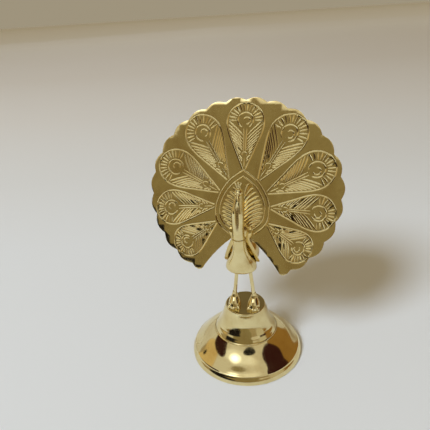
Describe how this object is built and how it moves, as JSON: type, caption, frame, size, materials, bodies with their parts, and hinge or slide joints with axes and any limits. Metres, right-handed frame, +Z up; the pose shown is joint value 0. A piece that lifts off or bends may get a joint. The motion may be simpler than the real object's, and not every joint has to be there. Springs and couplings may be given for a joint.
{
  "type": "peacock table ornament",
  "caption": "Table ornament: a bird on thin rod legs with a leaning round scalloped tail sheet, standing on a hollow bell-shaped base.",
  "frame": {"origin": "centre of the base's rim, on the surface the ornament stands on", "axes": "+Z up, -Y the way the bird faces, +X the bird's left"},
  "size_m": [0.1074, 0.068, 0.1508],
  "materials": {
    "polished_brass": "mirror polished and lacquered",
    "tail_sheet_brass": "polished sheet with chased lines",
    "plain_brass": "turned, unpolished"
  },
  "bodies": {
    "root": {"base_bell": "polished_brass", "body": "polished_brass", "neck_head": "polished_brass", "crest": "polished_brass", "wing_left": "polished_brass", "wing_right": "polished_brass", "foot_left": "polished_brass", "foot_right": "polished_brass", "leg_left": "polished_brass", "leg_right": "polished_brass", "tail_fan": "tail_sheet_brass", "leg_washer_left": "plain_brass", "leg_washer_right": "plain_brass", "leg_nut_left": "plain_brass", "leg_nut_right": "plain_brass", "tail_washer": "plain_brass", "tail_screw": "plain_brass"}
  },
  "joints": []
}
